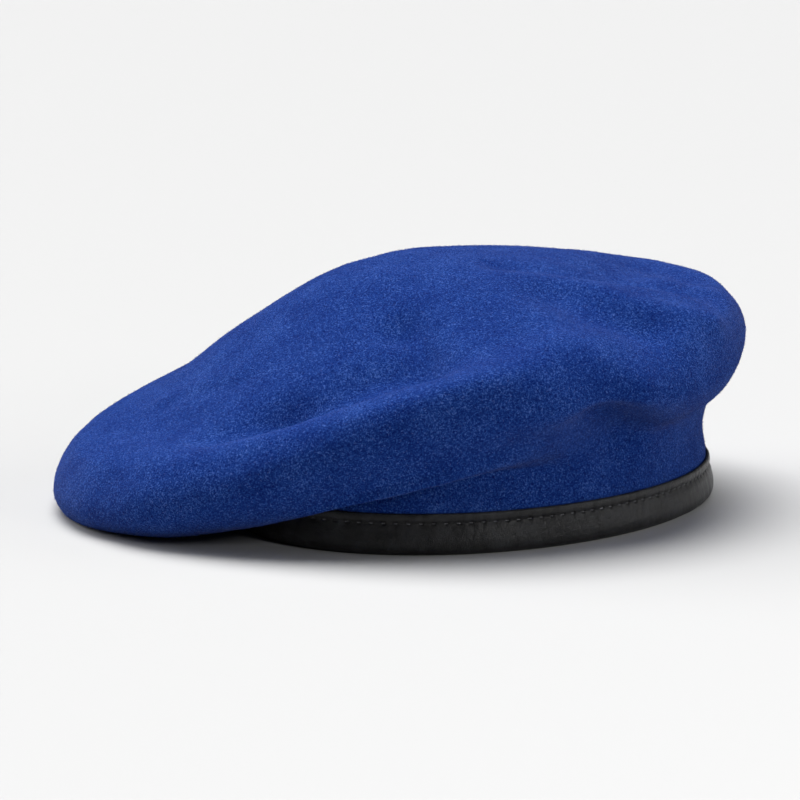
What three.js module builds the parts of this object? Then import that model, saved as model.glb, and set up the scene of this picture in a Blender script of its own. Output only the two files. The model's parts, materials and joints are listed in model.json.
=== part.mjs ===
// Military beret: a one-piece felted wool crown, pulled down to one side, whose edge sits in a folded
// leather binding. Millimetres, +Z up. The beret rests on its binding on the plane z = 0. +X points to the
// raised side, -X to the side that the crown is pulled down to, and -Y to the upright front panel. Angles
// run from +X towards +Y. Every size is set out from the middle of the head oval, and the last lines move
// the origin to the middle of the base.
import * as THREE from "three";

// Driving dimensions of the opening and its binding
const HEAD_GIRTH = 570; // round the inside of the binding, hat size 57
const OVAL_RATIO = 1.31; // long axis of the head oval over its short axis
const OVAL_TURN = 51; // degrees from +X to the long axis
const LEATHER = 1.2;
const FELT = 2.2;
const CLEARANCE = 0.3; // between the felt and each leaf of the binding
const BINDING_HEIGHT = 15.6;
const STITCH_DROP = 3.8; // from the binding's top edge down to its row of stitches
const ROLL_BULGE = 1.9; // how far the binding's rolled lower half swells past its lip
const REST_FACE = 2.6; // width of the flat that the binding rests on

// Driving dimensions of the crown
const CROWN_MIDDLE = { x: -26, y: 5, z: 97 };
const CROWN_TILT = { x: 0.02, y: 0 }; // slope of the crown at its middle
const FLOOR_CLEARANCE = 0.2; // the lowest felt lies this far above the plane of the binding

// Resolution: points round a ring, and rings from each hoop of a section up to the next
const AROUND = 72;
const RINGS = {
  edge: 1,
  slot: 1,
  mouth: 3,
  neck: 4,
  fold: 3,
  face: 3,
  rim: 4,
  shoulder: 3,
  outerTop: 4,
  top: 3,
  innerTop: 3,
};
const FIRST_FREE_RING = RINGS.edge + RINGS.slot;
const FULLY_FREE_RING = FIRST_FREE_RING + RINGS.mouth + RINGS.neck;

const FELT_FACE = FELT / 2;
const SLOT_FACE = FELT_FACE + CLEARANCE;
const LEAF_FACE = SLOT_FACE + LEATHER;

// Rows of a table as objects with named columns.
function table(columns, rows) {
  return rows.map((row) => Object.fromEntries(row.map((value, c) => [columns[c], value])));
}

// The felt's outer face at each angle, from the binding up: the neck above the binding, the fold where the
// felt hangs lowest, the face below the rim, the rim where the crown is widest, and the shoulder where its
// top begins. "Out" is the distance outside the head oval, "R" the distance from the oval's middle, "Z" the
// height. "bend" is the share of the top's drop, from its middle to the shoulder, that is reached half-way.
const SECTION_COLUMNS = [
  "angle",
  "neckOut",
  "neckZ",
  "foldOut",
  "foldZ",
  "faceR",
  "faceZ",
  "rimR",
  "rimZ",
  "shoulderR",
  "shoulderZ",
  "bend",
];
const SECTIONS = table(
  SECTION_COLUMNS,
  [
    [0, -1, 29, 2, 40, 99, 54, 105, 68, 97, 84.5, 0.16],
    [30, -2, 29, 1, 40, 105, 53, 111, 68, 100, 84, 0.16],
    [60, -1, 28, 1, 38, 107, 50, 113, 66, 100, 82, 0.2],
    [90, 1, 28, 5, 34, 108, 46, 114, 62, 102, 79, 0.24],
    [120, 3, 28, 18, 22, 121, 31, 128, 46, 116, 63, 0.3],
    [150, 4, 27, 38, 5, 144, 9, 152, 21, 141, 38, 0.36],
    [180, 4, 26, 44, 0, 160.5, 1, 164.5, 10, 155, 27.5, 0.4],
    [210, 1, 25, 24, 3, 150, 3, 158, 11, 149, 30, 0.42],
    [240, -2, 25, 14, 17, 122, 20, 129.5, 32, 124, 49, 0.43],
    [270, -3, 29, 8, 31.5, 105, 39, 111.5, 52, 107, 68, 0.44],
    [300, 0, 29, 3, 37, 96, 45, 106.5, 56, 95, 75, 0.2],
    [330, 0, 28, 3, 38, 98, 47, 104.5, 59, 98, 77, 0.12],
  ],
);

// Soft folds and dents: each follows a path of points [x, y, z] on the felt and fades sideways over its
// width. A positive height is a ridge, a negative one a valley.
const FOLDS = table(
  ["name", "height", "width", "path"],
  [
    [
      "front rim",
      1.8,
      7,
      [[-122, -84, 19], [-88, -105, 30], [-44, -112, 48], [-15, -112, 59], [14, -107, 67]],
    ],
    ["trough behind the front rim", -5.5, 9.5, [[-74, -83, 47], [-59, -84, 56], [-44, -84, 63], [-30, -81, 69]]],
    ["left end of that trough", -4.5, 9, [[-96, -78, 40], [-86, -79, 45], [-72, -80, 51]]],
    ["dent in the top", -5.5, 9, [[-28, -56, 77], [-24, -68, 73], [-19, -85, 67]]],
    ["hollow in the front", -9, 12, [[45, -87, 50], [51, -80, 41], [57, -71, 33]]],
    ["fold above the hollow", 1.8, 8, [[29, -84, 77], [44, -88, 66], [61, -86, 61]]],
    ["valley above that fold", -6, 12, [[29, -46, 88], [42, -59, 83], [60, -64, 78]]],
    ["crease in the right of the top", 2, 5, [[37, -36, 91], [61, -50, 85], [88, -42, 78]]],
    ["valley behind that crease", -3, 8, [[9, -17, 97], [32, -21, 95], [63, -18, 90], [85, -20, 86]]],
    ["saddle in the far side of the top", -5.5, 16, [[56, -4, 94], [68, 26, 91], [82, 10, 88]]],
  ],
);

const radians = THREE.MathUtils.degToRad;

// The head oval's half axes at the middle of the felt's thickness, from the girth inside the binding.
function headOval() {
  const meanInside = HEAD_GIRTH / (2 * Math.PI);
  const meanFelt = meanInside + LEAF_FACE;
  const short = meanFelt * Math.sqrt(2 / (1 + OVAL_RATIO ** 2));
  return { long: short * OVAL_RATIO, short };
}

const OVAL = headOval();

// Distance from the oval's middle to a curve that lies a given way outside the oval.
function ovalRadius(angle, out) {
  const turned = angle - radians(OVAL_TURN);
  const long = OVAL.long + out;
  const short = OVAL.short + out;
  return (long * short) / Math.hypot(short * Math.cos(turned), long * Math.sin(turned));
}

function polar(angle, radius, z) {
  return new THREE.Vector3(radius * Math.cos(angle), radius * Math.sin(angle), z);
}

// A smooth closed curve through one column of the sections: the trigonometric interpolation of its evenly
// spaced rows.
function around(column, angle) {
  const count = SECTIONS.length;
  return SECTIONS.reduce((sum, row) => {
    const away = angle - radians(row.angle);
    const flat = Math.abs(Math.sin(away / 2)) < 1e-9;
    const weight = flat ? 1 : Math.sin((count * away) / 2) / (count * Math.tan(away / 2));
    return sum + row[column] * weight;
  }, 0);
}

// A point of the crown's top: share 0 is its middle and share 1 its shoulder.
function topPoint(angle, share) {
  const middle = new THREE.Vector3(CROWN_MIDDLE.x, CROWN_MIDDLE.y, CROWN_MIDDLE.z);
  const shoulder = polar(angle, around("shoulderR", angle), around("shoulderZ", angle));
  const point = middle.clone().lerp(shoulder, share);
  const tilt = CROWN_TILT.x * (shoulder.x - middle.x) + CROWN_TILT.y * (shoulder.y - middle.y);
  const drop = middle.z + tilt - shoulder.z;
  const early = (16 * around("bend", angle) - 1) / 3;
  point.z = middle.z + tilt * share - drop * (early * share ** 2 + (1 - early) * share ** 4);
  return point;
}

// The felt's outer face in one upright section, as one point for each ring from its edge in the binding
// upwards.
function feltProfile(angle) {
  const value = (column) => around(column, angle);
  const wall = (out, z) => polar(angle, ovalRadius(angle, FELT_FACE + out), z);
  const hoops = {
    edge: wall(0, LEATHER + 2 * CLEARANCE),
    slot: wall(0, BINDING_HEIGHT - 2),
    mouth: wall(0, BINDING_HEIGHT + 1),
    neck: wall(value("neckOut"), value("neckZ")),
    fold: wall(value("foldOut"), value("foldZ")),
    face: polar(angle, value("faceR"), value("faceZ")),
    rim: polar(angle, value("rimR"), value("rimZ")),
    shoulder: topPoint(angle, 1),
    outerTop: topPoint(angle, 0.8),
    top: topPoint(angle, 0.52),
    innerTop: topPoint(angle, 0.24),
    middle: topPoint(angle, 0),
  };
  const curve = new THREE.CatmullRomCurve3(Object.values(hoops));
  const stretches = Object.keys(RINGS).length;
  const point = (hoop, share) => curve.getPoint((hoop + share) / stretches);
  const steps = ([, rings], hoop) => Array.from({ length: rings }, (_, s) => point(hoop, s / rings));
  return Object.entries(RINGS).flatMap(steps);
}

// Rings of points, ring by ring from the felt's edge to the last ring before the middle, then the middle
// itself.
function feltRings() {
  const profiles = Array.from({ length: AROUND }, (_, k) => feltProfile((2 * Math.PI * k) / AROUND));
  const rings = profiles[0].map((_, ring) => profiles.map((profile) => profile[ring]));
  return { rings, middle: topPoint(0, 0) };
}

// Outward normals of the rings, from the neighbours of each point.
function ringNormals({ rings, middle }) {
  return rings.map((ring, r) =>
    ring.map((_, k) => {
      const along = (rings[r + 1] ? rings[r + 1][k] : middle).clone().sub(rings[Math.max(r - 1, 0)][k]);
      const across = ring[(k + 1) % AROUND].clone().sub(ring[(k + AROUND - 1) % AROUND]);
      return across.cross(along).normalize();
    }),
  );
}

// Distance from a point to a path.
function distanceToPath(point, path) {
  const corners = path.map((corner) => new THREE.Vector3(...corner));
  const nearest = new THREE.Vector3();
  const stretches = corners.slice(1).map((corner, c) => new THREE.Line3(corners[c], corner));
  const distance = (line) => line.closestPointToPoint(point, true, nearest).distanceTo(point);
  return Math.min(...stretches.map(distance));
}

// How far the folds lift or sink the felt at a point of a ring. The binding holds the lowest rings still.
function foldHeight(point, ring) {
  const height = (fold) => fold.height * Math.exp(-((distanceToPath(point, fold.path) / fold.width) ** 2));
  const free = THREE.MathUtils.smoothstep(ring, FIRST_FREE_RING, FULLY_FREE_RING);
  return free * FOLDS.reduce((sum, fold) => sum + height(fold), 0);
}

// A closed body between an outer and an inner set of rings, each of which ends in a middle point.
function shellGeometry(outer, inner) {
  const points = [...outer.rings.flat(), outer.middle, ...inner.rings.flat(), inner.middle];
  const innerStart = outer.rings.length * AROUND + 1;
  const index = [];
  const skin = (start, rings, flip) => {
    const face = (a, b, c) => index.push(...(flip ? [a, c, b] : [a, b, c]));
    for (let k = 0; k < AROUND; k += 1) {
      const next = (k + 1) % AROUND;
      for (let r = 0; r < rings - 1; r += 1) {
        const [a, b] = [start + r * AROUND + k, start + r * AROUND + next];
        face(a, b, b + AROUND);
        face(a, b + AROUND, a + AROUND);
      }
      const last = start + (rings - 1) * AROUND;
      face(last + k, last + next, start + rings * AROUND);
    }
  };
  skin(0, outer.rings.length, false);
  skin(innerStart, inner.rings.length, true);
  for (let k = 0; k < AROUND; k += 1) {
    const next = (k + 1) % AROUND;
    index.push(k, innerStart + k, innerStart + next, k, innerStart + next, next);
  }
  return new THREE.BufferGeometry().setFromPoints(points).setIndex(index);
}

// The felt: its outer face with the folds in it, and an inner face one thickness inside.
function feltCrown() {
  const smooth = feltRings();
  const normals = ringNormals(smooth);
  const lift = (point, normal, ring) => {
    const lifted = point.clone().addScaledVector(normal, foldHeight(point, ring));
    return lifted.setZ(Math.max(lifted.z, FLOOR_CLEARANCE));
  };
  const outer = {
    rings: smooth.rings.map((ring, r) => ring.map((point, k) => lift(point, normals[r][k], r))),
    middle: lift(smooth.middle, new THREE.Vector3(0, 0, 1), smooth.rings.length),
  };
  const faces = ringNormals(outer);
  const sink = (point, normal) => point.clone().addScaledVector(normal, -FELT);
  const inner = {
    rings: outer.rings.map((ring, r) => ring.map((point, k) => sink(point, faces[r][k]))),
    middle: outer.middle.clone().setZ(outer.middle.z - FELT),
  };
  return shellGeometry(outer, inner);
}

// The binding's section as [distance outside the oval, height]: a leather strip folded up round the felt's
// edge, with a rolled lower half outside and a lip above the stitches.
function bindingSection() {
  const stitchZ = BINDING_HEIGHT - STITCH_DROP;
  const rollFace = LEAF_FACE + ROLL_BULGE;
  const slotFloor = LEATHER + CLEARANCE;
  return [
    [-REST_FACE / 2, 0],
    [REST_FACE / 2 + 0.6, 0],
    [rollFace - 0.5, 1.6],
    [rollFace, 3.8],
    [rollFace - 0.2, 6.4],
    [LEAF_FACE + 0.3, stitchZ - 1.8],
    [LEAF_FACE, stitchZ],
    [LEAF_FACE + 0.3, stitchZ + 1.6],
    [LEAF_FACE + 0.1, BINDING_HEIGHT - 0.5],
    [LEAF_FACE - 0.5, BINDING_HEIGHT],
    [SLOT_FACE, BINDING_HEIGHT - 0.3],
    [SLOT_FACE, slotFloor],
    [-SLOT_FACE, slotFloor],
    [-SLOT_FACE, BINDING_HEIGHT - 0.3],
    [0.5 - LEAF_FACE, BINDING_HEIGHT],
    [-LEAF_FACE, BINDING_HEIGHT - 0.5],
    [-LEAF_FACE, 2],
    [0.6 - LEAF_FACE, 0.5],
  ];
}

// A ring with the given section, swept round the head oval.
function leatherBinding() {
  const section = bindingSection();
  const points = [];
  const index = [];
  for (let k = 0; k < AROUND; k += 1) {
    const angle = (2 * Math.PI * k) / AROUND;
    section.forEach(([out, z], s) => {
      points.push(polar(angle, ovalRadius(angle, out), z));
      const next = (s + 1) % section.length;
      const [a, b] = [k * section.length + s, k * section.length + next];
      const [c, d] = [a, b].map((corner) => (corner + section.length) % (AROUND * section.length));
      index.push(a, c, d, a, d, b);
    });
  }
  return new THREE.BufferGeometry().setFromPoints(points).setIndex(index);
}

function piece(name, geometry, material) {
  const mesh = new THREE.Mesh(geometry, new THREE.MeshStandardMaterial(material));
  mesh.name = name;
  return mesh;
}

const FELT_LOOK = { color: 0x1f3f94, roughness: 0.95, metalness: 0 };
const LEATHER_LOOK = { color: 0x1c1b1d, roughness: 0.45, metalness: 0 };
const felt = piece("felt_crown", feltCrown(), FELT_LOOK);
const binding = piece("leather_binding", leatherBinding(), LEATHER_LOOK);

const setOut = new THREE.Group().add(felt, binding);
const bounds = new THREE.Box3().setFromObject(setOut, true);
setOut.position.set(-(bounds.min.x + bounds.max.x) / 2, -(bounds.min.y + bounds.max.y) / 2, -bounds.min.z);

const beret = new THREE.Group().add(setOut);
beret.name = "military_beret";

export default beret;
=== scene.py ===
"""A royal-blue military beret of wool felt with a stitched black leather binding, at rest on a pale floor.

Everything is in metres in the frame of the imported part: +X to the raised side, -Y to the upright front and
+Z up.
"""
import bisect
import json
import logging
import math
import random
from dataclasses import dataclass, field
from enum import Enum

import bmesh
import bpy
from mathutils import Matrix, Vector, noise

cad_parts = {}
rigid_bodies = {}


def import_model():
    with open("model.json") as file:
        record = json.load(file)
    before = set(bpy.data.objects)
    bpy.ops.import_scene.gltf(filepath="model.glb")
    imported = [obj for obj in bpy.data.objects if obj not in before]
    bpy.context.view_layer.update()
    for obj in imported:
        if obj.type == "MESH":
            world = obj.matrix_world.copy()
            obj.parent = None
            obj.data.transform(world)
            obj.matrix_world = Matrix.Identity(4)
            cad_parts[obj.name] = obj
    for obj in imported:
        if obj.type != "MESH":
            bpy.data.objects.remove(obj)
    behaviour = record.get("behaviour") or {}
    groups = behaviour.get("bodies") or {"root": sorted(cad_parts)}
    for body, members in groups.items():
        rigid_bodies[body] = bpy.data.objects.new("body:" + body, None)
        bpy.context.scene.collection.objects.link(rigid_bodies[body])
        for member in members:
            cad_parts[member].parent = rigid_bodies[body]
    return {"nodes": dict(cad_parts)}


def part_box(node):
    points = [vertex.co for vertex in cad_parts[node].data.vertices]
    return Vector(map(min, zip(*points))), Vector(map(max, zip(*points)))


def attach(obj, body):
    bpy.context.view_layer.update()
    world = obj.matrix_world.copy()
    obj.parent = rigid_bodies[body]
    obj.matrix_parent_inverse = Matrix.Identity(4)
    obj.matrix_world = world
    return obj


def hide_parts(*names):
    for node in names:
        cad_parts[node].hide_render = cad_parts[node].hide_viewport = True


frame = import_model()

LOG = logging.getLogger("beret")
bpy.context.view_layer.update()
MM = 0.001  # metres in a millimetre
BODY = "root"
NAP_SEED = 11


class Slot(Enum):
    """The record's material slots."""

    FELT = "felt"
    BINDING = "binding"


class NapShade(Enum):
    """How light the fibres of one part of the nap are dyed."""

    DEEP = "deep"
    BRIGHT = "bright"


def linear(hex_colour: str) -> tuple[float, float, float, float]:
    """Turn an sRGB hex colour into linear light.

    Args:
        hex_colour: Six hex digits, with or without a leading "#".

    Returns:
        Red, green, blue and an alpha of 1.
    """
    digits = hex_colour.lstrip("#")
    channels = [int(digits[i : i + 2], 16) / 255 for i in (0, 2, 4)]
    red, green, blue = [c / 12.92 if c <= 0.04045 else ((c + 0.055) / 1.055) ** 2.4 for c in channels]
    return red, green, blue, 1.0


def add_node(tree: bpy.types.NodeTree, kind: str, settings: dict, inputs: dict) -> bpy.types.Node:
    """Add a node with its settings and links.

    Args:
        tree: The material's node tree.
        kind: The node's type name.
        settings: Attribute names of the node and their values.
        inputs: Socket names or numbers, each with a value or with the output socket that feeds it.

    Returns:
        The new node.
    """
    node = tree.nodes.new(kind)
    for name, value in settings.items():
        setattr(node, name, value)
    for name, value in inputs.items():
        if isinstance(value, bpy.types.NodeSocket):
            tree.links.new(value, node.inputs[name])
        else:
            node.inputs[name].default_value = value
    return node


def set_ramp(node: bpy.types.Node, stops: list[tuple[float, str]]) -> None:
    """Give a colour ramp its stops.

    Args:
        node: A colour ramp node.
        stops: Places from 0 to 1 with sRGB hex colours.
    """
    elements = node.color_ramp.elements
    while len(elements) < len(stops):
        elements.new(1.0)
    for element, (place, colour) in zip(elements, stops):
        element.position = place
        element.color = linear(colour)


def new_material(name: str) -> tuple[bpy.types.Material, bpy.types.NodeTree]:
    """Make an empty node material.

    Args:
        name: The material's name.

    Returns:
        The material and its cleared node tree.
    """
    material = bpy.data.materials.new(name)
    material.use_nodes = True
    material.node_tree.nodes.clear()
    return material, material.node_tree


def fade(distance: float, reach: float) -> float:
    """How much of a bump is left at a distance from its middle: 1 there, and 0.37 at its reach."""
    return math.exp(-((distance / reach) ** 2))


def edit(piece: bpy.types.Object) -> None:
    """Open a piece for editing, with nothing of its mesh selected."""
    bpy.ops.object.select_all(action="DESELECT")
    bpy.context.view_layer.objects.active = piece
    piece.select_set(True)
    bpy.ops.object.mode_set(mode="EDIT")
    bpy.ops.mesh.select_all(action="DESELECT")


def apply_modifiers(piece: bpy.types.Object) -> None:
    """Apply every modifier of a piece, from the first to the last."""
    bpy.ops.object.select_all(action="DESELECT")
    bpy.context.view_layer.objects.active = piece
    piece.select_set(True)
    for modifier in list(piece.modifiers):
        bpy.ops.object.modifier_apply(modifier=modifier.name)


def finish_piece(
    piece: bpy.types.Object, material: bpy.types.Material, part_of: str | None
) -> None:
    """Dress a piece, let it ride on the body and report it.

    Args:
        piece: The finished mesh object, at the origin.
        material: What it is made of.
        part_of: The CAD node that it replaces, or None for an added piece.
    """
    piece.data.materials.clear()
    piece.data.materials.append(material)
    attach(piece, BODY)
    if part_of:
        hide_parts(part_of)
    triangles = sum(len(face.vertices) - 2 for face in piece.data.polygons)
    LOG.info("%s: %d triangles, %s", piece.name, triangles, material.name)


@dataclass(frozen=True)
class WoolFelt:
    """Milled wool felt, dyed royal blue: dense matted fibres that give a matt, finely speckled face.

    The tangle shows as flecks a fibre or two long, the milling as cloudy patches, and the nap scatters light
    at grazing angles into a paler, slightly violet edge. Wool fibres are about 0.02 mm thick, finer than a
    pixel of the render, so the fibres and their tangle are drawn as coarse as they need to show.
    """

    deep: str = "#001558"
    body: str = "#0b2c74"
    bright: str = "#1b418d"
    fleck: str = "#4a69b0"
    sheen: str = "#f2eaff"
    tangle: float = 0.68 * MM
    fibre: float = 0.33 * MM
    cloud: float = 17 * MM
    fibre_share: float = 0.45
    cloud_share: float = 0.14
    relief: float = 0.5 * MM

    def material(self) -> bpy.types.Material:
        """Build the felt's node material.

        Returns:
            The material.
        """
        material, tree = new_material("milled_wool_felt_royal_blue")
        place = add_node(tree, "ShaderNodeTexCoord", {}, {}).outputs["Object"]
        tangle = add_node(
            tree, "ShaderNodeTexNoise", {"noise_dimensions": "3D"},
            {"Vector": place, "Scale": 1 / self.tangle, "Detail": 4.0, "Roughness": 0.7, "Distortion": 0.9},
        ).outputs["Fac"]
        fibre = add_node(
            tree, "ShaderNodeTexNoise", {"noise_dimensions": "3D"},
            {"Vector": place, "Scale": 1 / self.fibre, "Detail": 2.0, "Roughness": 0.6, "Distortion": 1.6},
        ).outputs["Fac"]
        cloud = add_node(
            tree, "ShaderNodeTexNoise", {"noise_dimensions": "3D"},
            {"Vector": place, "Scale": 1 / self.cloud, "Detail": 3.0, "Roughness": 0.55},
        ).outputs["Fac"]
        mixed = add_node(
            tree, "ShaderNodeMath", {"operation": "MULTIPLY_ADD"},
            {0: fibre, 1: self.fibre_share, 2: -self.fibre_share / 2},
        ).outputs[0]
        mottle = add_node(tree, "ShaderNodeMath", {"operation": "ADD"}, {0: tangle, 1: mixed}).outputs[0]
        lifted = add_node(
            tree, "ShaderNodeMath", {"operation": "MULTIPLY_ADD"},
            {0: cloud, 1: self.cloud_share, 2: -self.cloud_share / 2},
        ).outputs[0]
        level = add_node(tree, "ShaderNodeMath", {"operation": "ADD"}, {0: mottle, 1: lifted}).outputs[0]
        colour = add_node(tree, "ShaderNodeValToRGB", {}, {"Fac": level})
        set_ramp(colour, [(0.375, self.deep), (0.48, self.body), (0.575, self.bright), (0.66, self.fleck)])
        relief = add_node(
            tree, "ShaderNodeBump", {}, {"Height": mottle, "Strength": 0.75, "Distance": self.relief}
        ).outputs["Normal"]
        shader = add_node(
            tree, "ShaderNodeBsdfPrincipled", {},
            {
                "Base Color": colour.outputs["Color"],
                "Roughness": 0.95,
                "Specular IOR Level": 0.08,
                "Sheen Weight": 0.06,
                "Sheen Roughness": 0.2,
                "Sheen Tint": linear(self.sheen),
                "Normal": relief,
            },
        )
        add_node(tree, "ShaderNodeOutputMaterial", {}, {"Surface": shader.outputs["BSDF"]})
        return material


@dataclass(frozen=True)
class WoolFibre:
    """Loose dyed wool fibres of the raised nap, each a little lighter or darker than the next."""

    shade: NapShade
    sheen: str = "#f2eaff"

    def material(self) -> bpy.types.Material:
        """Build the fibres' node material, which reads each fibre's own shade.

        Returns:
            The material.
        """
        material, tree = new_material(f"raised_wool_nap_{self.shade.value}")
        shade = add_node(tree, "ShaderNodeAttribute", {"attribute_name": "fibre_shade"}, {}).outputs["Fac"]
        colour = add_node(tree, "ShaderNodeValToRGB", {}, {"Fac": shade})
        stops = {
            NapShade.DEEP: [(0.0, "#021149"), (1.0, "#0f2f7b")],
            NapShade.BRIGHT: [(0.0, "#143888"), (0.7, "#3356a8"), (1.0, "#7386c5")],
        }
        set_ramp(colour, stops[self.shade])
        shader = add_node(
            tree, "ShaderNodeBsdfPrincipled", {},
            {
                "Base Color": colour.outputs["Color"],
                "Roughness": 0.8,
                "Specular IOR Level": 0.1,
                "Sheen Weight": 0.06,
                "Sheen Roughness": 0.2,
                "Sheen Tint": linear(self.sheen),
            },
        )
        add_node(tree, "ShaderNodeOutputMaterial", {}, {"Surface": shader.outputs["BSDF"]})
        return material


@dataclass(frozen=True)
class BindingLeather:
    """Thin sheep leather, drum-dyed black and plated: a soft satin gloss over fine grain and small wrinkles.

    Where it was handled it is a little greyer and duller. The pebbles of sheep leather are about 0.3 mm
    across and its pores about 0.1 mm, and both are drawn twice as coarse to show in the render.
    """

    dye: str = "#0e0e10"
    rubbed: str = "#26272a"
    grain: float = 0.55 * MM
    pore: float = 0.22 * MM
    handling: float = 9 * MM
    crumple: float = 2.6 * MM
    pore_share: float = 0.35
    crumple_share: float = 4.5
    relief: float = 0.09 * MM

    def material(self) -> bpy.types.Material:
        """Build the leather's node material.

        Returns:
            The material.
        """
        material, tree = new_material("plated_sheep_leather_black")
        place = add_node(tree, "ShaderNodeTexCoord", {}, {}).outputs["Object"]
        pebble = add_node(
            tree, "ShaderNodeTexVoronoi", {"feature": "DISTANCE_TO_EDGE"},
            {"Vector": place, "Scale": 1 / self.grain, "Randomness": 1.0},
        ).outputs["Distance"]
        rounded = add_node(
            tree, "ShaderNodeMapRange", {"interpolation_type": "SMOOTHSTEP"},
            {"Value": pebble, "From Min": 0.0, "From Max": 0.22},
        ).outputs["Result"]
        pore = add_node(
            tree, "ShaderNodeTexNoise", {}, {"Vector": place, "Scale": 1 / self.pore, "Detail": 2.0}
        ).outputs["Fac"]
        handled = add_node(
            tree, "ShaderNodeTexNoise", {}, {"Vector": place, "Scale": 1 / self.handling, "Detail": 4.0}
        ).outputs["Fac"]
        crumpled = add_node(
            tree, "ShaderNodeTexNoise", {}, {"Vector": place, "Scale": 1 / self.crumple, "Detail": 3.0}
        ).outputs["Fac"]
        worn = add_node(
            tree, "ShaderNodeMapRange", {}, {"Value": handled, "From Min": 0.42, "From Max": 0.72}
        ).outputs["Result"]
        colour = add_node(
            tree, "ShaderNodeMix", {"data_type": "RGBA"},
            {0: worn, 6: linear(self.dye), 7: linear(self.rubbed)},
        ).outputs[2]
        gloss = add_node(
            tree, "ShaderNodeMapRange", {},
            {"Value": handled, "From Min": 0.3, "From Max": 0.7, "To Min": 0.3, "To Max": 0.42},
        ).outputs["Result"]
        grained = add_node(
            tree, "ShaderNodeMath", {"operation": "MULTIPLY_ADD"}, {0: pore, 1: self.pore_share, 2: rounded}
        ).outputs[0]
        height = add_node(
            tree, "ShaderNodeMath", {"operation": "MULTIPLY_ADD"},
            {0: crumpled, 1: self.crumple_share, 2: grained},
        ).outputs[0]
        relief = add_node(
            tree, "ShaderNodeBump", {}, {"Height": height, "Strength": 0.9, "Distance": self.relief}
        ).outputs["Normal"]
        shader = add_node(
            tree, "ShaderNodeBsdfPrincipled", {},
            {
                "Base Color": colour,
                "Roughness": gloss,
                "Specular IOR Level": 0.37,
                "Normal": relief,
            },
        )
        add_node(tree, "ShaderNodeOutputMaterial", {}, {"Surface": shader.outputs["BSDF"]})
        return material


@dataclass(frozen=True)
class BondedThread:
    """Black bonded polyester thread: a tight twist with a faint gloss, and a light grey painted highlight on
    each ply's crests.
    """

    dye: str = "#36363b"
    # crest: a light grey painted highlight on the raised crests of the twist, not a colour of the black
    # thread
    crest: str = "#8b8b90"
    ply: float = 0.35 * MM
    relief: float = 0.08 * MM

    def material(self) -> bpy.types.Material:
        """Build the thread's node material.

        Returns:
            The material.
        """
        material, tree = new_material("bonded_polyester_thread_black")
        place = add_node(tree, "ShaderNodeTexCoord", {}, {}).outputs["Object"]
        twist = add_node(
            tree, "ShaderNodeTexNoise", {}, {"Vector": place, "Scale": 1 / self.ply, "Detail": 1.0}
        ).outputs["Fac"]
        # The twist's noise lifts the black dye towards the painted highlight where the ply stands highest, as
        # in its bump.
        colour = add_node(tree, "ShaderNodeValToRGB", {}, {"Fac": twist})
        set_ramp(colour, [(0.4, self.dye), (0.65, self.crest)])
        relief = add_node(
            tree, "ShaderNodeBump", {}, {"Height": twist, "Strength": 0.6, "Distance": self.relief}
        ).outputs["Normal"]
        shader = add_node(
            tree, "ShaderNodeBsdfPrincipled", {},
            {"Base Color": colour.outputs["Color"], "Roughness": 0.45, "Normal": relief},
        )
        add_node(tree, "ShaderNodeOutputMaterial", {}, {"Surface": shader.outputs["BSDF"]})
        return material


@dataclass(frozen=True)
class PaleFloor:
    """Matt lacquered board, white in the studio's light, which only gathers the object's soft shadow."""

    paint: str = "#bdbdbd"

    def material(self) -> bpy.types.Material:
        """Build the floor's node material.

        Returns:
            The material.
        """
        material, tree = new_material("matt_white_board")
        shader = add_node(
            tree, "ShaderNodeBsdfPrincipled", {},
            {"Base Color": linear(self.paint), "Roughness": 0.9, "Specular IOR Level": 0.1},
        )
        add_node(tree, "ShaderNodeOutputMaterial", {}, {"Surface": shader.outputs["BSDF"]})
        return material


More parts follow.
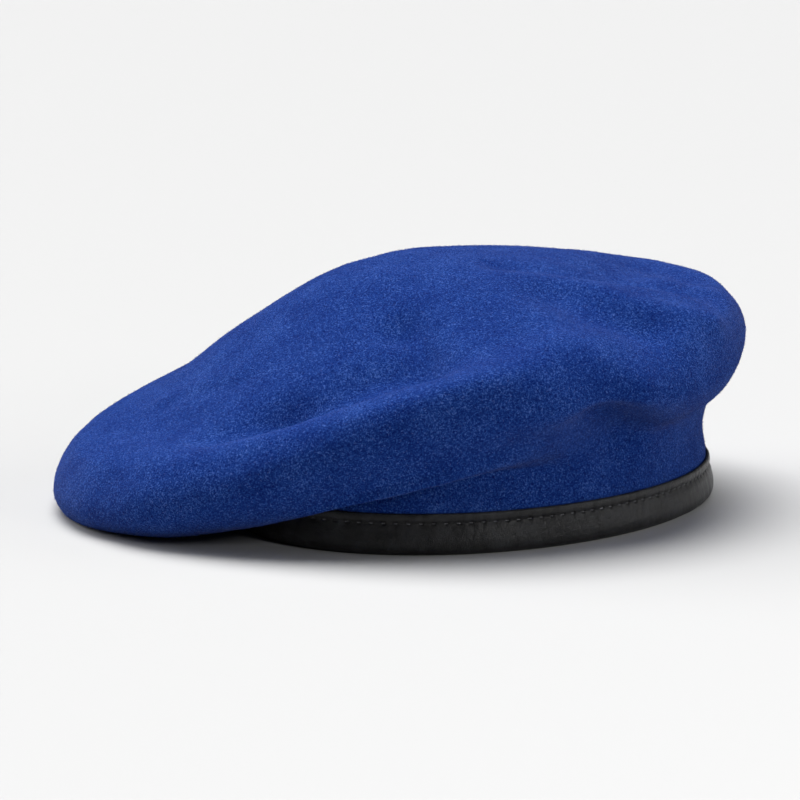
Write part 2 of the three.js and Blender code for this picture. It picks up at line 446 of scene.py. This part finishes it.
@dataclass
class HeadOval:
    """The head opening: an oval turned in plan, with the felt's edge in its middle line."""

    girth: float = 570 * MM
    ratio: float = 1.31
    turn: float = math.radians(51)
    leather: float = 1.2 * MM
    felt: float = 2.2 * MM
    clearance: float = 0.3 * MM
    steps: int = 3600
    middle: Vector = field(init=False)
    short: float = field(init=False)
    long: float = field(init=False)
    lengths: list[float] = field(init=False)

    def __post_init__(self) -> None:
        """Work out the half axes, the middle and the running length round the oval."""
        low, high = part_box("leather_binding")
        self.middle = (low + high) / 2
        mean = self.girth / math.tau + self.leaf_face
        self.short = mean * math.sqrt(2 / (1 + self.ratio**2))
        self.long = self.short * self.ratio
        self.lengths = [0.0]
        before = self.point(0.0, 0.0, 0.0)
        for step in range(1, self.steps + 1):
            here = self.point(math.tau * step / self.steps, 0.0, 0.0)
            self.lengths.append(self.lengths[-1] + (here - before).length)
            before = here

    @property
    def slot_face(self) -> float:
        """Distance from the felt's middle to the inner face of a leaf of the binding."""
        return self.felt / 2 + self.clearance

    @property
    def leaf_face(self) -> float:
        """Distance from the felt's middle to the outer face of a leaf of the binding."""
        return self.slot_face + self.leather

    @property
    def length(self) -> float:
        """Length of the middle line."""
        return self.lengths[-1]

    def radius(self, angle: float, out: float) -> float:
        """Distance from the middle to a curve outside the oval.

        Args:
            angle: Angle from +X towards +Y.
            out: How far the curve lies outside the middle line.

        Returns:
            The distance in metres.
        """
        turned = angle - self.turn
        long, short = self.long + out, self.short + out
        return long * short / math.hypot(short * math.cos(turned), long * math.sin(turned))

    def point(self, angle: float, out: float, height: float) -> Vector:
        """A point at an angle, a distance outside the oval and a height."""
        radius = self.radius(angle, out)
        aside, away = radius * math.cos(angle), radius * math.sin(angle)
        return Vector((self.middle.x + aside, self.middle.y + away, height))

    def angle_at(self, share: float) -> float:
        """Angle that is reached after a share of the way round, measured along the oval.

        Args:
            share: From 0 to 1.

        Returns:
            The angle in radians.
        """
        target = (share % 1.0) * self.length
        step = max(1, bisect.bisect_left(self.lengths, target))
        before, after = self.lengths[step - 1], self.lengths[step]
        return math.tau * (step - 1 + (target - before) / (after - before)) / self.steps


@dataclass(frozen=True)
class Fold:
    """One soft fold: it follows a path on the felt and fades sideways. A negative height is a valley."""

    name: str
    height: float
    width: float
    path: tuple[Vector, ...]

    def lift(self, point: Vector) -> float:
        """How far the fold lifts the felt at a point, in metres."""
        nearest = min(self._distance(point, a, b) for a, b in zip(self.path, self.path[1:]))
        return self.height * fade(nearest, self.width)

    @staticmethod
    def _distance(point: Vector, start: Vector, end: Vector) -> float:
        """Distance from a point to a straight stretch of the path."""
        along = end - start
        share = max(0.0, min(1.0, (point - start).dot(along) / along.length_squared))
        return (start + along * share - point).length


@dataclass
class FeltCrown:
    """The crown: one moulded felt shell, refined from the CAD solid's outer face."""

    finish: WoolFelt
    oval: HeadOval
    binding_height: float = 15.6 * MM
    floor_clearance: float = 0.2 * MM
    subdivisions: int = 2
    lump_height: float = 0.45 * MM
    lump_size: float = 24 * MM
    ripple_height: float = 0.14 * MM
    ripple_size: float = 7 * MM
    ripple_shift: tuple[float, float, float] = (7.3, 1.9, 4.1)
    weld: float = 0.01 * MM
    level_tolerance: float = 0.05 * MM
    size_rounds: int = 8
    nap_over_binding: float = 0.8 * MM
    nap_over_floor: float = 1.2 * MM
    loose_rise: float = 14 * MM  # the folds reach their full height this far above the binding
    loose_reach: float = 10 * MM  # or this far outside what it holds
    held_reach: float = 6 * MM  # how far outside the oval the binding holds the felt
    folds: tuple[Fold, ...] = ()
    piece: bpy.types.Object = field(init=False)
    face: bpy.types.Object = field(init=False)

    def build(self) -> None:
        """Make the felt's outer face, shape its folds and give it its thickness."""
        self.face = self._outer_face()
        self._hold_size()
        subdivision = self.face.modifiers.new("rounding", "SUBSURF")
        subdivision.levels = subdivision.render_levels = self.subdivisions
        apply_modifiers(self.face)
        self._shape_folds()
        self.piece = self.face.copy()
        self.piece.data = self.face.data.copy()
        self.piece.name = "felt_shell"
        bpy.context.scene.collection.objects.link(self.piece)
        thickness = self.piece.modifiers.new("thickness", "SOLIDIFY")
        thickness.thickness = self.oval.felt
        thickness.offset = -1.0
        apply_modifiers(self.piece)
        bpy.ops.object.shade_smooth_by_angle(angle=math.radians(50))

    def dress(self) -> None:
        """Give the shell its felt and let it stand for the CAD crown."""
        finish_piece(self.piece, self.finish.material(), "felt_crown")

    def discard_face(self) -> None:
        """Remove the single-skin face that the shell and the nap were made from."""
        bpy.data.objects.remove(self.face)

    def is_bare(self, place: Vector) -> bool:
        """Whether a place on the outer face is clear of the binding and of the floor."""
        above_binding = place.z > self.binding_height + self.nap_over_binding
        beside_binding = self._away(place) > self.held_reach and place.z > self.nap_over_floor
        return above_binding or beside_binding

    def _away(self, place: Vector) -> float:
        """How far a place lies outside the head oval, in plan."""
        offset = place - self.oval.middle
        return math.hypot(offset.x, offset.y) - self.oval.radius(math.atan2(offset.y, offset.x), 0.0)

    def _outer_face(self) -> bpy.types.Object:
        """Copy the CAD crown and keep only its outer face, as quads.

        Returns:
            The face as an object, open at the felt's edge.
        """
        node = frame["nodes"]["felt_crown"]
        face = bpy.data.objects.new("felt_face", node.data.copy())
        bpy.context.scene.collection.objects.link(face)
        edit(face)
        bpy.ops.mesh.select_all(action="SELECT")
        bpy.ops.mesh.remove_doubles(threshold=self.weld)
        bpy.ops.mesh.select_all(action="DESELECT")
        bpy.ops.mesh.select_mode(type="FACE")
        mesh = bmesh.from_edit_mesh(face.data)
        edge_height = self.oval.leather + 2 * self.oval.clearance
        for polygon in mesh.faces:
            level = max(abs(corner.co.z - edge_height) for corner in polygon.verts)
            is_edge_face = level < self.level_tolerance and polygon.normal.z < -0.9
            polygon.select = is_edge_face and self._in_slot(polygon)
        bmesh.update_edit_mesh(face.data)
        bpy.ops.mesh.delete(type="FACE")
        bpy.ops.mesh.select_mode(type="VERT")
        mesh = bmesh.from_edit_mesh(face.data)
        max(mesh.verts, key=lambda corner: corner.co.z).select = True
        bmesh.update_edit_mesh(face.data)
        bpy.ops.mesh.select_linked()
        bpy.ops.mesh.select_all(action="INVERT")
        bpy.ops.mesh.delete(type="VERT")
        bpy.ops.mesh.select_all(action="SELECT")
        bpy.ops.mesh.tris_convert_to_quads(
            face_threshold=math.radians(60), shape_threshold=math.radians(80)
        )
        bpy.ops.object.mode_set(mode="OBJECT")
        return face

    def _in_slot(self, polygon: bmesh.types.BMFace) -> bool:
        """Whether a face lies on the line of the binding's slot."""
        return abs(self._away(polygon.calc_center_median())) < 2 * self.oval.felt

    def _hold_size(self) -> None:
        """Move the corners out so that the rounded surface passes through where they were.

        The limit of a corner is a weighted mean of itself, its edges' middles and its faces' middles, by
        Catmull and Clark's rule. Each round moves every corner by what its limit still misses.
        """
        mesh = bmesh.new()
        mesh.from_mesh(self.face.data)
        mesh.verts.ensure_lookup_table()
        goals = [corner.co.copy() for corner in mesh.verts]
        inner = [corner for corner in mesh.verts if not corner.is_boundary]
        for _ in range(self.size_rounds):
            steps = []
            for corner in inner:
                count = len(corner.link_edges)
                middles = Vector()
                for edge in corner.link_edges:
                    middles += (edge.verts[0].co + edge.verts[1].co) / 2
                for polygon in corner.link_faces:
                    middles += polygon.calc_center_median()
                limit = corner.co * ((count - 3) / (count + 5)) + middles * (4 / (count * (count + 5)))
                steps.append(goals[corner.index] - limit)
            for corner, step in zip(inner, steps):
                corner.co += step
        mesh.to_mesh(self.face.data)
        mesh.free()

    def _shape_folds(self) -> None:
        """Move the felt along its normals by its folds and small lumps, with its edge held in the binding."""
        mesh = self.face.data
        held = self.binding_height + 1 * MM
        shift = Vector(self.ripple_shift)
        moves = []
        for corner in mesh.vertices:
            place = corner.co
            height = sum(fold.lift(place) for fold in self.folds)
            height += self.lump_height * noise.noise(place / self.lump_size)
            height += self.ripple_height * noise.noise(place / self.ripple_size + shift)
            risen = (place.z - held) / self.loose_rise
            beyond = (self._away(place) - self.held_reach) / self.loose_reach
            loose = max(0.0, min(1.0, max(risen, beyond)))
            moves.append(place + corner.normal * height * loose)
        for corner, place in zip(mesh.vertices, moves):
            if place.z < self.floor_clearance:
                place.z = self.floor_clearance
            corner.co = place
        mesh.update()


@dataclass
class Nap:
    """Short fibres that stand or lie on the felt's face, each a bent spindle of five corners and six faces.

    A real fibre is about 0.02 mm thick. These are drawn four times as thick, so that few of them are enough.
    """

    crown: FeltCrown
    shade: NapShade
    seed: int
    count: int = 30000
    corners: int = 5
    length: float = 1.15 * MM
    length_shares: tuple[float, float] = (0.55, 1.25)  # shortest and longest fibre
    thickness: float = 0.085 * MM
    bend: float = 0.45  # where along the fibre its middle ring lies
    lean: float = 0.35
    lean_shares: tuple[float, float] = (0.2, 1.0)  # flattest and steepest fibre
    middle_share: float = 0.9  # how far the middle rises, of the fibre's rise
    tip_shares: tuple[float, float] = (0.2, 1.1)  # the same for the tip, least and most
    lift: float = 0.03 * MM
    rooting: float = 0.05 * MM
    piece: bpy.types.Object = field(init=False)

    def build(self) -> None:
        """Scatter the fibres evenly over the face and join them in one mesh."""
        chance = random.Random(self.seed)
        mesh = self.crown.face.data
        faces = [face for face in mesh.polygons if self.crown.is_bare(face.center)]
        running = []
        total = 0.0
        for face in faces:
            total += face.area
            running.append(total)
        places: list[tuple[float, float, float]] = []
        polygons: list[tuple[int, int, int]] = []
        shades: list[float] = []
        for _ in range(self.count):
            face = faces[min(bisect.bisect_left(running, chance.random() * total), len(faces) - 1)]
            corners = [mesh.vertices[i].co for i in face.vertices]
            across, along = chance.random(), chance.random()
            low = corners[0].lerp(corners[1], across)
            high = corners[-1].lerp(corners[-2], across) if len(corners) > 3 else corners[2]
            self._fibre(chance, low.lerp(high, along), face.normal, places, polygons)
            shades.extend([chance.random()] * self.corners)
        data = bpy.data.meshes.new(f"nap_{self.shade.value}")
        data.from_pydata(places, [], polygons)
        data.attributes.new("fibre_shade", "FLOAT", "POINT").data.foreach_set("value", shades)
        self.piece = bpy.data.objects.new(f"felt_nap_{self.shade.value}", data)
        bpy.context.scene.collection.objects.link(self.piece)

    def dress(self) -> None:
        """Give the fibres their dyed wool."""
        finish_piece(self.piece, WoolFibre(self.shade).material(), None)

    def _fibre(
        self,
        chance: random.Random,
        root: Vector,
        normal: Vector,
        places: list[tuple[float, float, float]],
        polygons: list[tuple[int, int, int]],
    ) -> None:
        """Add one fibre to the growing mesh.

        Args:
            chance: The seeded source of chance.
            root: Where the fibre leaves the felt.
            normal: The felt's normal there.
            places: Corners so far, which the fibre's own are added to.
            polygons: Faces so far, which the fibre's own are added to.
        """
        side = normal.orthogonal().normalized()
        side.rotate(Matrix.Rotation(chance.random() * math.tau, 3, normal))
        length = self.length * chance.uniform(*self.length_shares)
        rise = self.lean * chance.uniform(*self.lean_shares) ** 2
        height = length * rise * self.middle_share + self.lift
        middle = root + side * length * self.bend + normal * height
        tip = root + side * length + normal * length * rise * chance.uniform(*self.tip_shares)
        across = side.cross(normal) * self.thickness / 2
        up = normal * self.thickness / 2
        first = len(places)
        ring = (middle + up, middle - up * 0.5 + across, middle - up * 0.5 - across)
        places.extend(tuple(corner) for corner in (root - normal * self.rooting, *ring, tip))
        a, b, c, d, e = range(first, first + self.corners)
        polygons.extend(((a, b, c), (a, c, d), (a, d, b), (e, c, b), (e, d, c), (e, b, d)))


@dataclass
class LeatherBinding:
    """The binding: a strip of thin leather folded up round the felt's edge and drawn in by its stitches."""

    finish: BindingLeather
    oval: HeadOval
    height: float = 15.6 * MM
    stitch_drop: float = 3.8 * MM
    roll_bulge: float = 1.9 * MM
    rest_face: float = 2.6 * MM
    weld: float = 0.005 * MM
    stitches: int = 128
    steps_per_stitch: int = 11
    hole_width: float = 1.7 * MM
    hole_height: float = 0.8 * MM
    hole_depth: float = 0.6 * MM
    groove: float = 0.22 * MM
    pinch: float = 0.13 * MM  # crease that a stitch draws across the strip
    pinch_width: float = 0.75 * MM
    pinch_above: float = 2.6 * MM
    pinch_below: float = 1.7 * MM
    pillow: float = 0.05 * MM  # leather that stands out between two stitches
    pillow_width: float = 1.4 * MM
    pillow_middle: float = 0.9 * MM
    pillow_reach: float = 2.0 * MM
    slack: float = 0.2 * MM  # unevenness of the rolled lower half
    slack_waves: int = 90
    slack_size: float = 6 * MM
    roll_fade: float = 3 * MM
    wrinkle: float = 0.14 * MM  # upright wrinkles over the whole outer leaf
    wrinkle_waves: int = 170
    wrinkle_size: float = 14 * MM
    wrinkle_shift: float = 9.1
    skin: float = 0.3 * MM  # depth of the outer leaf's face, below which nothing moves
    piece: bpy.types.Object = field(init=False)

    @property
    def stitch_height(self) -> float:
        """Height of the row of stitches."""
        return self.height - self.stitch_drop

    def section(self) -> list[tuple[float, float]]:
        """The strip's section.

        Returns:
            Points as distance outside the oval and height, counter-clockwise as seen along the binding.
        """
        face, slot, stitch, top = self.oval.leaf_face, self.oval.slot_face, self.stitch_height, self.height
        roll = face + self.roll_bulge
        floor = self.oval.leather + self.oval.clearance
        outside = [  # distance outside the oval, height
            (-self.rest_face / 2, 0.0),
            (self.rest_face / 2, 0.0),
            (self.rest_face / 2 + 0.8 * MM, 0.08 * MM),
            (roll - 1.2 * MM, 0.7 * MM),
            (roll - 0.45 * MM, 1.6 * MM),
            (roll - 0.08 * MM, 2.8 * MM),
            (roll, 4.0 * MM),
            (roll - 0.08 * MM, 5.2 * MM),
            (roll - 0.35 * MM, 6.5 * MM),
            (roll - 0.75 * MM, 7.8 * MM),
            (face + 0.75 * MM, stitch - 2.2 * MM),
            (face + 0.36 * MM, stitch - 1.4 * MM),
            (face + 0.14 * MM, stitch - 0.9 * MM),
            (face - 0.02 * MM, stitch - 0.55 * MM),
            (face - 0.16 * MM, stitch - 0.3 * MM),
            (face - self.groove, stitch),
            (face - 0.16 * MM, stitch + 0.3 * MM),
            (face, stitch + 0.6 * MM),
            (face + 0.16 * MM, stitch + 1.0 * MM),
            (face + 0.24 * MM, stitch + 1.6 * MM),
            (face + 0.22 * MM, stitch + 2.3 * MM),
            (face + 0.12 * MM, stitch + 3.0 * MM),
            (face - 0.1 * MM, top - 0.4 * MM),
            (face - 0.4 * MM, top - 0.06 * MM),
            (slot + 0.35 * MM, top - 0.05 * MM),
            (slot + 0.02 * MM, top - 0.5 * MM),
        ]
        inside = [  # distance outside the oval, height
            (slot, floor),
            (-slot, floor),
            (-slot, top - 0.5 * MM),
            (-slot - 0.35 * MM, top - 0.05 * MM),
            (0.4 * MM - face, top - 0.06 * MM),
            (0.05 * MM - face, top - 0.6 * MM),
            (-face, top - 2.0 * MM),
            (-face, 6.0 * MM),
            (0.05 * MM - face, 2.0 * MM),
            (0.6 * MM - face, 0.5 * MM),
        ]
        return outside + inside

    def build(self) -> None:
        """Spin the section into a ring, press the ring to the head oval and pucker it at the stitches."""
        section = self.section()
        bpy.ops.object.select_all(action="DESELECT")
        bpy.ops.mesh.primitive_circle_add(vertices=len(section), radius=0.01, fill_type="NOTHING")
        self.piece = bpy.context.object
        self.piece.name = "leather_binding_strip"
        reference = self.oval.long
        for corner, (out, height) in zip(self.piece.data.vertices, section):
            corner.co = Vector((reference + out, 0.0, height))
        edit(self.piece)
        bpy.ops.mesh.select_all(action="SELECT")
        steps = self.stitches * self.steps_per_stitch
        bpy.ops.mesh.spin(
            steps=steps, angle=math.tau, center=(0, 0, 0), axis=(0, 0, 1), use_auto_merge=True
        )
        bpy.ops.mesh.select_all(action="SELECT")
        bpy.ops.mesh.remove_doubles(threshold=self.weld)
        bpy.ops.object.mode_set(mode="OBJECT")
        for corner in self.piece.data.vertices:
            place = corner.co
            share = (math.atan2(place.y, place.x) / math.tau) % 1.0
            out = math.hypot(place.x, place.y) - reference
            out += self._pucker(share, out, place.z)
            corner.co = self.oval.point(self.oval.angle_at(share), out, place.z)
        edit(self.piece)
        bpy.ops.mesh.select_all(action="SELECT")
        bpy.ops.mesh.normals_make_consistent(inside=False)
        bpy.ops.object.mode_set(mode="OBJECT")
        bpy.ops.object.shade_smooth_by_angle(angle=math.radians(55))

    def dress(self) -> None:
        """Give the strip its leather and let it stand for the CAD binding."""
        finish_piece(self.piece, self.finish.material(), "leather_binding")

    def strength(self, stitch: int) -> float:
        """How hard one stitch is pulled, from 0.6 to 1.3."""
        return 0.95 + 0.35 * math.sin(stitch * 2.39996) * math.cos(stitch * 0.731)

    def _pucker(self, share: float, out: float, height: float) -> float:
        """How far the stitches and the leather's own slackness move a point of the outer leaf.

        Args:
            share: Share of the way round.
            out: Distance outside the oval's middle line.
            height: Height above the floor.

        Returns:
            The change of the distance outside the oval.
        """
        if out < self.oval.slot_face + self.skin or height < self.skin:
            return 0.0
        turns = share * self.stitches
        stitch = round(turns)
        aside = (turns - stitch) * self.oval.length / self.stitches
        above = height - self.stitch_height
        pull = self.strength(stitch % self.stitches)
        hole = math.exp(-((aside / (self.hole_width / 2)) ** 4) - (above / (self.hole_height / 2)) ** 4)
        reach = self.pinch_above if above > 0 else self.pinch_below
        crease = fade(aside, self.pinch_width) * fade(above, reach)
        pillow = (1 - fade(aside, self.pillow_width)) * fade(above - self.pillow_middle, self.pillow_reach)
        slack = self._uneven(share, self.slack_waves, height / self.slack_size)
        across = height / self.wrinkle_size + self.wrinkle_shift
        wrinkle = self._uneven(share, self.wrinkle_waves, across)
        move = -self.hole_depth * hole * pull - self.pinch * pull * crease + self.pillow * pillow
        rolling = max(0.0, min(1.0, (self.stitch_height - height) / self.roll_fade))
        return move + rolling * self.slack * slack + self.wrinkle * wrinkle

    @staticmethod
    def _uneven(share: float, waves: int, level: float) -> float:
        """Smooth unevenness that closes on itself round the binding.

        Args:
            share: Share of the way round.
            waves: About how many hollows and bumps there are in a turn.
            level: Place across the strip, in sizes of the unevenness.

        Returns:
            A value from about -1 to 1.
        """
        reach = waves / math.tau
        turned = math.tau * share
        return noise.noise(Vector((reach * math.cos(turned), reach * math.sin(turned), level)))


@dataclass
class StitchRow:
    """The row of stitches: short dashes of thread that dip into the leather at both ends."""

    finish: BondedThread
    binding: LeatherBinding
    length: float = 2.1 * MM
    diameter: float = 0.42 * MM
    sides: int = 6
    dip: float = 0.5 * MM
    flattening: float = 0.25
    bite: float = 0.55  # how deep the thread lies in its hole
    sway: float = 0.09  # most that a stitch is askew, in radians
    nudge: float = 0.002  # step each way along the oval that gives its direction, in radians
    piece: bpy.types.Object = field(init=False)

    def build(self) -> None:
        """Model one stitch, copy it round the binding and join the copies."""
        model = self._stitch()
        oval = self.binding.oval
        copies = []
        for number in range(self.binding.stitches):
            angle = oval.angle_at(number / self.binding.stitches)
            ahead = oval.point(angle + self.nudge, 0.0, 0.0) - oval.point(angle - self.nudge, 0.0, 0.0)
            depth = self.binding.hole_depth * self.binding.strength(number) * self.bite
            out = oval.leaf_face - self.binding.groove - depth
            place = oval.point(angle, out, self.binding.stitch_height)
            copy = model.copy()
            copy.data = model.data.copy()
            tilt = Matrix.Rotation(self.sway * math.sin(number * 1.7), 4, "Y")
            turn = Matrix.Rotation(math.atan2(ahead.y, ahead.x), 4, "Z")
            copy.data.transform(Matrix.Translation(place) @ turn @ tilt)
            bpy.context.scene.collection.objects.link(copy)
            copies.append(copy)
        bpy.data.objects.remove(model)
        bpy.ops.object.select_all(action="DESELECT")
        for copy in copies:
            copy.select_set(True)
        bpy.context.view_layer.objects.active = copies[0]
        bpy.ops.object.join()
        self.piece = bpy.context.object
        self.piece.name = "binding_stitches"

    def dress(self) -> None:
        """Give the stitches their thread."""
        finish_piece(self.piece, self.finish.material(), None)

    def _stitch(self) -> bpy.types.Object:
        """Model one stitch along X: a short round thread, bowed outwards, with its ends turned in.

        Returns:
            The stitch as an object.
        """
        bpy.ops.object.select_all(action="DESELECT")
        along_x = (0.0, math.pi / 2, 0.0)
        bpy.ops.mesh.primitive_cylinder_add(
            vertices=self.sides, radius=self.diameter / 2, depth=self.length, rotation=along_x
        )
        stitch = bpy.context.object
        bpy.ops.object.transform_apply(location=False, rotation=True, scale=False)
        for cut in (-0.25, 0.0, 0.25):
            edit(stitch)
            bpy.ops.mesh.select_all(action="SELECT")
            bpy.ops.mesh.bisect(plane_co=(self.length * cut, 0, 0), plane_no=(1, 0, 0))
            bpy.ops.object.mode_set(mode="OBJECT")
        for corner in stitch.data.vertices:
            share = corner.co.x / (self.length / 2)
            corner.co.y += self.dip * share**2
            corner.co.z *= 1 - self.flattening * share**2
        bpy.ops.object.shade_smooth()
        return stitch


@dataclass(frozen=True)
class Softbox:
    """A broad light so far away that it falls evenly on the whole floor.

    Its direction leads from the beret to it, its spread is the angle that it takes up in degrees, and its
    strength is in watts for each square metre.
    """

    name: str
    towards: tuple[float, float, float]
    spread: float
    strength: float

    def hang(self) -> None:
        """Add the light to the scene."""
        data = bpy.data.lights.new(self.name, "SUN")
        data.energy = self.strength
        data.angle = math.radians(self.spread)
        light = bpy.data.objects.new(self.name, data)
        light.rotation_euler = Vector(self.towards).to_track_quat("Z", "Y").to_euler()
        bpy.context.scene.collection.objects.link(light)


@dataclass
class Studio:
    """The pale floor, the soft lights and the camera."""

    middle: Vector
    softboxes: tuple[Softbox, ...] = (
        Softbox("overhead_softbox", (-0.13, 0.17, 1.0), spread=50, strength=4.5),
        Softbox("left_softbox", (-1.0, 0.35, 0.6), spread=40, strength=1.5),
        Softbox("right_softbox", (1.0, 0.0, 0.3), spread=40, strength=0.8),
    )
    card_place: tuple[float, float, float] = (1.0, -1.15, 0.62)
    card_aim: tuple[float, float, float] = (0.0, 0.0, 0.04)
    card_width: float = 300 * MM
    card_height: float = 250 * MM
    card_power: float = 4.2
    sky_strength: float = 0.05
    aim_aside: float = -29.65 * MM
    aim_height: float = 40.1 * MM
    distance: float = 1500 * MM
    elevation: float = math.radians(10.45)
    lens: float = 172.6
    floor_size: float = 12.0

    def build(self) -> None:
        """Make the floor, the lights, the sky and the camera."""
        self._floor()
        for softbox in self.softboxes:
            softbox.hang()
        self._front_card()
        world = bpy.data.worlds.new("pale_room")
        world.use_nodes = True
        sky = world.node_tree.nodes["Background"]
        sky.inputs["Color"].default_value = linear("#ffffff")
        sky.inputs["Strength"].default_value = self.sky_strength
        bpy.context.scene.world = world
        bpy.context.scene.view_settings.view_transform = "Standard"
        self._camera()

    def _floor(self) -> None:
        """Lay the floor at the height that the beret rests on."""
        bpy.ops.object.select_all(action="DESELECT")
        bpy.ops.mesh.primitive_plane_add(size=self.floor_size)
        floor = bpy.context.object
        floor.name = "studio_floor"
        floor.data.materials.append(PaleFloor().material())

    def _front_card(self) -> None:
        """Add the soft card at the front right, whose reflection runs along the leather."""
        data = bpy.data.lights.new("front_card", "AREA")
        data.shape = "RECTANGLE"
        data.size, data.size_y, data.energy = self.card_width, self.card_height, self.card_power
        light = bpy.data.objects.new("front_card", data)
        light.location = self.card_place
        towards = Vector(self.card_aim) - light.location
        light.rotation_euler = towards.to_track_quat("-Z", "Y").to_euler()
        bpy.context.scene.collection.objects.link(light)

    def _camera(self) -> None:
        """Set the camera at the photograph's angle, aimed beside the middle of the head opening."""
        data = bpy.data.cameras.new("camera")
        data.lens = self.lens
        data.sensor_width = 36.0
        camera = bpy.data.objects.new("camera", data)
        aim = Vector((self.middle.x + self.aim_aside, self.middle.y, self.aim_height))
        back = Vector((0.0, -math.cos(self.elevation), math.sin(self.elevation)))
        camera.location = aim + back * self.distance
        camera.rotation_euler = (-back).to_track_quat("-Z", "Y").to_euler()
        data.clip_start, data.clip_end = 0.01, 100.0
        bpy.context.scene.collection.objects.link(camera)
        bpy.context.scene.camera = camera


def path(*points: tuple[float, float, float]) -> tuple[Vector, ...]:
    """Turn points in millimetres, set out from the middle of the head oval, into a path in metres."""
    low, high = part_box("leather_binding")
    middle = (low + high) / 2
    return tuple(Vector((middle.x + x * MM, middle.y + y * MM, z * MM)) for x, y, z in points)


def crown_folds() -> tuple[Fold, ...]:
    """Small folds that the felt has besides those of the CAD solid.

    Returns:
        The folds, each with its height, its half-width and its path.
    """
    crest = path((-88, -100, 41), (-59, -103, 52), (-15, -104, 67))
    crease = path((-123, -15, 43), (-106, -29, 51), (-90, -41, 58))
    line = path((-117, -24, 42), (-100, -38, 50), (-86, -48, 56))
    return (
        Fold("crest of the front rim", 0.5 * MM, 5 * MM, crest),
        Fold("crease over the left end", 0.8 * MM, 5 * MM, crease),
        Fold("line over the left end", -0.6 * MM, 4 * MM, line),
    )


def main() -> None:
    """Build and dress the beret piece by piece, then set it in the studio."""
    logging.basicConfig(level=logging.INFO, format="%(name)s: %(message)s")
    oval = HeadOval()
    crown = FeltCrown(WoolFelt(), oval, folds=crown_folds())
    crown.build()
    crown.dress()
    for number, shade in enumerate(NapShade):
        nap = Nap(crown, shade, NAP_SEED + number)
        nap.build()
        nap.dress()
    crown.discard_face()
    binding = LeatherBinding(BindingLeather(), oval)
    binding.build()
    binding.dress()
    stitches = StitchRow(BondedThread(), binding)
    stitches.build()
    stitches.dress()
    Studio(oval.middle).build()


if __name__ == "__main__":
    main()
